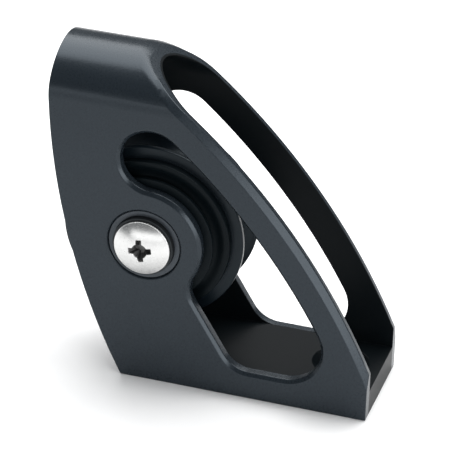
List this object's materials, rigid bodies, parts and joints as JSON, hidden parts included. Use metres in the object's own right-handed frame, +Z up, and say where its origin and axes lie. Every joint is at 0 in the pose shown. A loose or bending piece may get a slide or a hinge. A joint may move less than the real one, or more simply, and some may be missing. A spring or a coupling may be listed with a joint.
{
  "type": "single sheave foot block",
  "caption": "Deck foot block: a closed-loop metal housing with kidney windows carries one grooved rope sheave on a clamped axle with roller and ball bearings.",
  "frame": {"origin": "underside of the base, straight below the axle", "axes": "+X along the deck from heel to toe, +Y along the axle to the back cheek, +Z up from the deck"},
  "size_m": [0.0975, 0.0408, 0.1003],
  "materials": {
    "black_anodised": "bead-blasted hard black anodising",
    "sheave_black": "turned, satin black anodising",
    "stainless": "polished stainless steel",
    "bush_grey": "turned, grey-black anodising",
    "washer_black": "black nylon",
    "acetal_black": "black acetal",
    "roller_amber": "moulded bearing plastic, amber brown",
    "ball_white": "white acetal"
  },
  "bodies": {
    "block": {"housing": "black_anodised", "axle_pin": "stainless", "inner_race": "stainless", "front_axle_screw": "stainless", "back_axle_screw": "stainless", "front_axle_bush": "bush_grey", "back_axle_bush": "bush_grey", "front_head_washer": "washer_black", "back_head_washer": "washer_black", "front_thrust_plate": "acetal_black", "back_thrust_plate": "acetal_black"},
    "sheave_group": {"sheave": "sheave_black", "front_cover_ring": "acetal_black", "back_cover_ring": "acetal_black"},
    "roller_train": {"roller_cage": "acetal_black", "rollers": "roller_amber"},
    "front_ball_train": {"front_ball_cage": "acetal_black", "front_balls": "ball_white"},
    "back_ball_train": {"back_ball_cage": "acetal_black", "back_balls": "ball_white"}
  },
  "joints": [
    {"name": "sheave_spin", "type": "hinge", "parent": "block", "child": "sheave_group", "pos_m": [0, 0, 0.0449], "axis": [0, 1, 0], "continuous": true},
    {"name": "roller_orbit", "type": "hinge", "parent": "block", "child": "roller_train", "pos_m": [0, 0, 0.0449], "axis": [0, 1, 0], "continuous": true},
    {"name": "front_ball_orbit", "type": "hinge", "parent": "block", "child": "front_ball_train", "pos_m": [0, 0, 0.0449], "axis": [0, 1, 0], "continuous": true},
    {"name": "back_ball_orbit", "type": "hinge", "parent": "block", "child": "back_ball_train", "pos_m": [0, 0, 0.0449], "axis": [0, 1, 0], "continuous": true}
  ],
  "couplings": [
    {"joint": "roller_orbit", "follows": "sheave_spin", "ratio": 0.56544},
    {"joint": "front_ball_orbit", "follows": "sheave_spin", "ratio": 0.5},
    {"joint": "back_ball_orbit", "follows": "sheave_spin", "ratio": 0.5}
  ]
}
